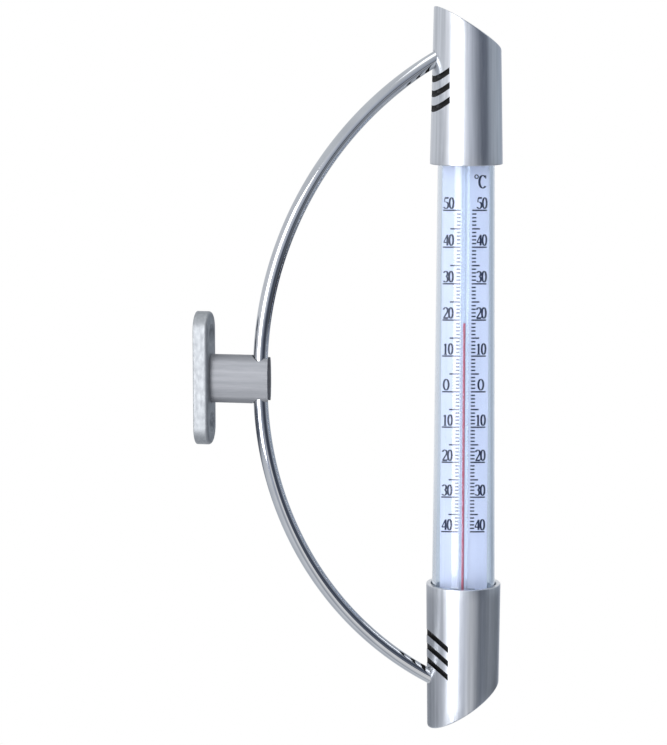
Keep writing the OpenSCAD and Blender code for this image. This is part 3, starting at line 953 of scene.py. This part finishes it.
soft_lamp(
    "key_softbox",
    azimuth=-25,
    elevation=0,
    distance=0.95,
    width=0.52,
    height=0.86,
    watts=6.5,
    raised=0.08,
)
soft_lamp("top_fill", azimuth=20, elevation=75, distance=1.3, width=0.9, height=0.9, watts=3.0)


# The room round the thermometer, as (azimuth in degrees, tone): one table at its own height and
# four for bands below and above it. Azimuth 0 is -Y and 90 is +X. A band takes over from the tables
# before it between two elevations in degrees

ROOM_LEVEL = [
    (-180, "#FFFFFF"),
    (-140, "#DFE2E7"),
    (-70, "#E2E5EA"),
    (-48, "#F4F5FA"),
    (-8, "#F4F6FC"),
    (20, "#D2D8E4"),
    (46, "#868E9C"),
    (56, "#596070"),
    (62, "#4B5261"),
    (76, "#4B5261"),
    (84, "#828A98"),
    (94, "#B0B8C2"),
    (110, "#BCC4CD"),
    (155, "#ACB6C4"),
    (172, "#DCE1E8"),
    (180, "#FFFFFF"),
]
ROOM_MIDDLE = [
    (-180, "#FFFFFF"),
    (-140, "#DDDFE4"),
    (-70, "#E2E5EA"),
    (-48, "#F4F5FA"),
    (-8, "#F4F6FC"),
    (8, "#D0D6E2"),
    (20, "#949BA9"),
    (46, "#484E5C"),
    (70, "#484E5C"),
    (94, "#B4BBC5"),
    (110, "#BCC4CD"),
    (155, "#ACB6C4"),
    (180, "#FFFFFF"),
]
ROOM_LOW = [
    (-180, "#F4F6F8"),
    (-136, "#6E7580"),
    (-100, "#484F5A"),
    (-60, "#6C7382"),
    (-44, "#C0C8D6"),
    (-6, "#DDE5F6"),
    (8, "#A4ACC0"),
    (26, "#FFFFFF"),
    (40, "#FFFFFF"),
    (60, "#6C747F"),
    (92, "#46474A"),
    (145, "#28292C"),
    (160, "#98A1AE"),
    (180, "#F4F6F8"),
]
ROOM_DEEP = [
    (-180, "#F0F2F5"),
    (-120, "#C8CED6"),
    (-24, "#E8EBF0"),
    (0, "#A8AEB8"),
    (30, "#FFFFFF"),
    (44, "#9AA0AC"),
    (60, "#7E8592"),
    (80, "#B8BEC8"),
    (135, "#A4AAB4"),
    (180, "#F0F2F5"),
]
ROOM_HIGH = [
    (-180, "#E0E4E8"),
    (10, "#DCE0E5"),
    (48, "#565D6A"),
    (68, "#565D6A"),
    (86, "#BCC3CC"),
    (180, "#E0E4E8"),
]
ROOM_BANDS = (
    (ROOM_MIDDLE, -3, -6),
    (ROOM_LOW, -10.5, -13),
    (ROOM_DEEP, -18, -24),
    (ROOM_HIGH, 18, 34),
)


def studio_room():
    """The pale room as the metal and the glass reflect it: each table is a ramp over the azimuth,
    and the bands are mixed in by the direction's height. The camera sees plain white."""
    world = bpy.data.worlds.new("pale_room")
    world.use_nodes = True
    tree = world.node_tree
    tree.nodes.clear()
    out = tree.nodes.new("ShaderNodeOutputWorld")
    way = add(tree, "ShaderNodeTexCoord").outputs["Generated"]
    parts = add(tree, "ShaderNodeSeparateXYZ", None, {"Vector": way}).outputs
    times, arctan = {"operation": "MULTIPLY"}, {"operation": "ARCTAN2"}
    back = add(tree, "ShaderNodeMath", times, {0: parts["Y"], 1: -1.0}).outputs[0]
    turn = add(tree, "ShaderNodeMath", arctan, {0: parts["X"], 1: back}).outputs[0]
    span = {"Value": turn, "From Min": -math.pi, "From Max": math.pi}
    share = add(tree, "ShaderNodeMapRange", None, span).outputs["Result"]

    def tones(table):
        stops = [((azimuth + 180) / 360, tone) for azimuth, tone in table]
        return add(tree, "ShaderNodeValToRGB", None, {"Fac": share}, stops).outputs["Color"]

    room = tones(ROOM_LEVEL)
    for table, start, end in ROOM_BANDS:
        low, high = math.sin(math.radians(start)), math.sin(math.radians(end))
        span = {"Value": parts["Z"], "From Min": low, "From Max": high}
        reached = add(tree, "ShaderNodeMapRange", None, span).outputs["Result"]
        mix = add(tree, "ShaderNodeMixRGB", None, {0: reached, 1: room, 2: tones(table)})
        room = mix.outputs[0]
    camera = add(tree, "ShaderNodeLightPath").outputs["Is Camera Ray"]
    seen = add(tree, "ShaderNodeMixRGB", None, {0: camera, 1: room, 2: linear("#FFFFFF")})
    sky = {"Color": seen.outputs[0], "Strength": 1.0}
    shader = add(tree, "ShaderNodeBackground", None, sky)
    tree.links.new(shader.outputs[0], out.inputs[0])
    bpy.context.scene.world = world


studio_room()


# Camera, as fitted to the photograph: angles in degrees, lengths in metres

CAMERA_AZIMUTH, CAMERA_TILT = 10.5, 8.1
CAMERA_DISTANCE = 0.9
CAMERA_AIM_ACROSS, CAMERA_AIM_Z = 0.0463, 0.00175
CAMERA_NEAR, CAMERA_FAR = 0.01, 100.0
PIXELS_PER_METRE = 2950.0
LONG_SIDE_PX = 745
SENSOR_MM = 36.0


def photo_camera():
    """The camera at the photograph's angle: it stands CAMERA_DISTANCE from its aim, and its lens
    gives the scale there."""
    back = direction(CAMERA_AZIMUTH, CAMERA_TILT)
    a, across = math.radians(CAMERA_AZIMUTH), CAMERA_AIM_ACROSS
    aim = Vector((math.cos(a) * across, math.sin(a) * across, CAMERA_AIM_Z))
    data = bpy.data.cameras.new("photo_camera")
    data.sensor_width = SENSOR_MM
    data.lens = SENSOR_MM * PIXELS_PER_METRE * CAMERA_DISTANCE / LONG_SIDE_PX
    data.clip_start, data.clip_end = CAMERA_NEAR, CAMERA_FAR
    camera = bpy.data.objects.new("photo_camera", data)
    camera.rotation_mode = "QUATERNION"
    camera.location = aim + back * CAMERA_DISTANCE
    camera.rotation_quaternion = (-back).to_track_quat("-Z", "Y")
    bpy.context.scene.collection.objects.link(camera)
    bpy.context.scene.camera = camera


photo_camera()
bpy.context.scene.view_settings.view_transform = "Standard"
